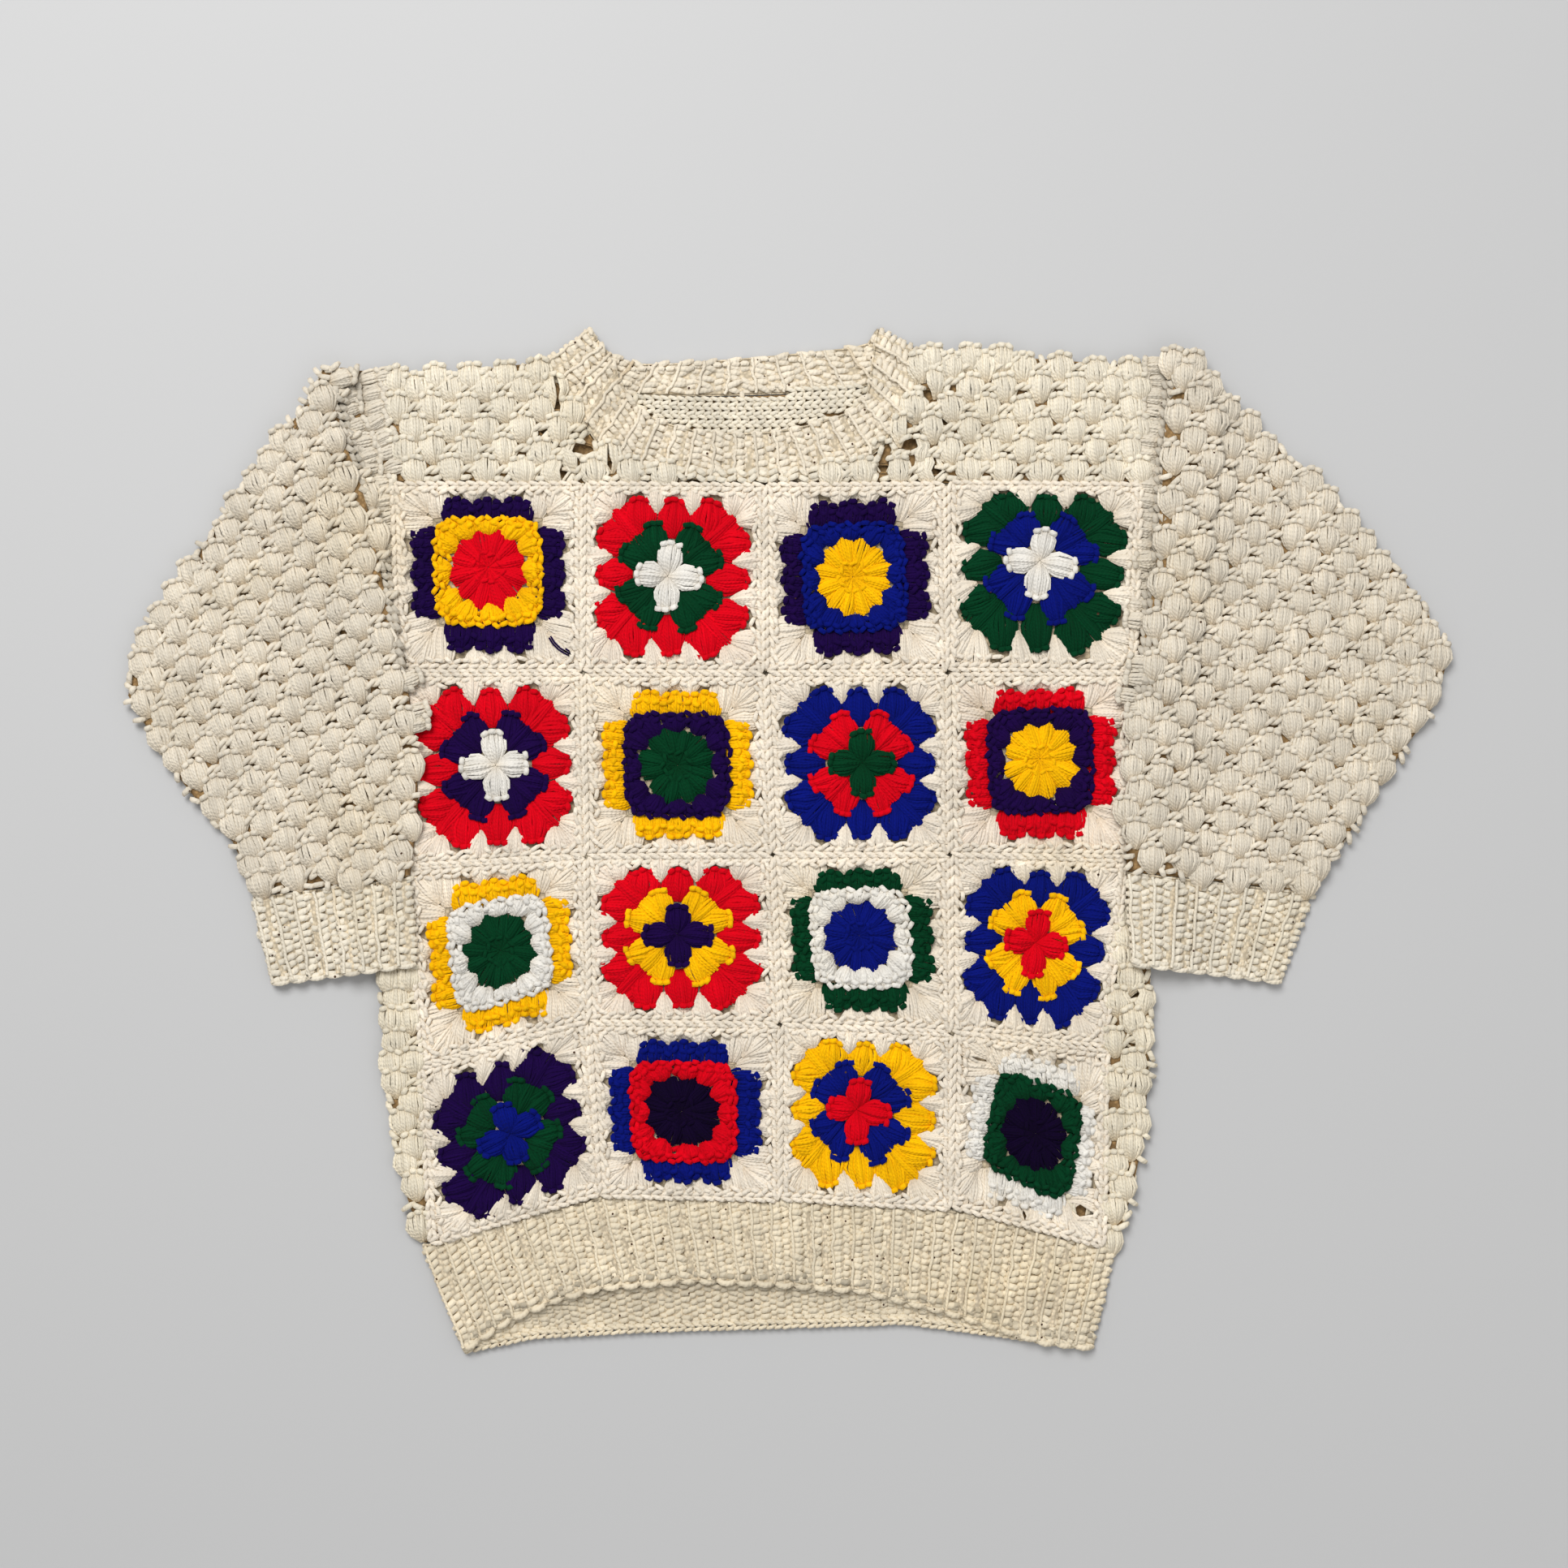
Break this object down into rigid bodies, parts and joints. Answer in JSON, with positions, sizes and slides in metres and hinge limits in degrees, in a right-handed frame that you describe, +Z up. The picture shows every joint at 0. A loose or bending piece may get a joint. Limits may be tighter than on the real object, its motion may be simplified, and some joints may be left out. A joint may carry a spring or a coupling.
{
  "type": "granny square sweater",
  "caption": "Crocheted sweater laid flat: granny squares on the front, cluster-stitch sleeves folded over the sides, ribbed neck, cuffs and hem.",
  "frame": {"origin": "bottom centre of the garment's box, on the surface it lies on", "axes": "+Z up from the surface, +Y from the hem towards the neck, +X across the garment to the right of the picture"},
  "size_m": [0.8428, 0.649, 0.0153],
  "materials": {
    "cream_clusters": "matt thick acrylic yarn worked in three-post clusters, cream",
    "cream_ribs": "matt thick acrylic yarn worked in ribs, cream",
    "square_yarns": "matt thick acrylic yarn in red, blue, green, purple, yellow, white and cream rounds"
  },
  "bodies": {
    "root": {"back": "cream_clusters", "square_11": "square_yarns", "square_12": "square_yarns", "square_13": "square_yarns", "square_14": "square_yarns", "square_21": "square_yarns", "square_22": "square_yarns", "square_23": "square_yarns", "square_24": "square_yarns", "square_31": "square_yarns", "square_32": "square_yarns", "square_33": "square_yarns", "square_34": "square_yarns", "square_41": "square_yarns", "square_42": "square_yarns", "square_43": "square_yarns", "square_44": "square_yarns", "yoke_left": "cream_clusters", "yoke_right": "cream_clusters", "sleeve_left": "cream_clusters", "sleeve_right": "cream_clusters", "neckband": "cream_ribs", "cuff_left": "cream_ribs", "cuff_right": "cream_ribs", "hem_rib": "cream_ribs"}
  },
  "joints": []
}
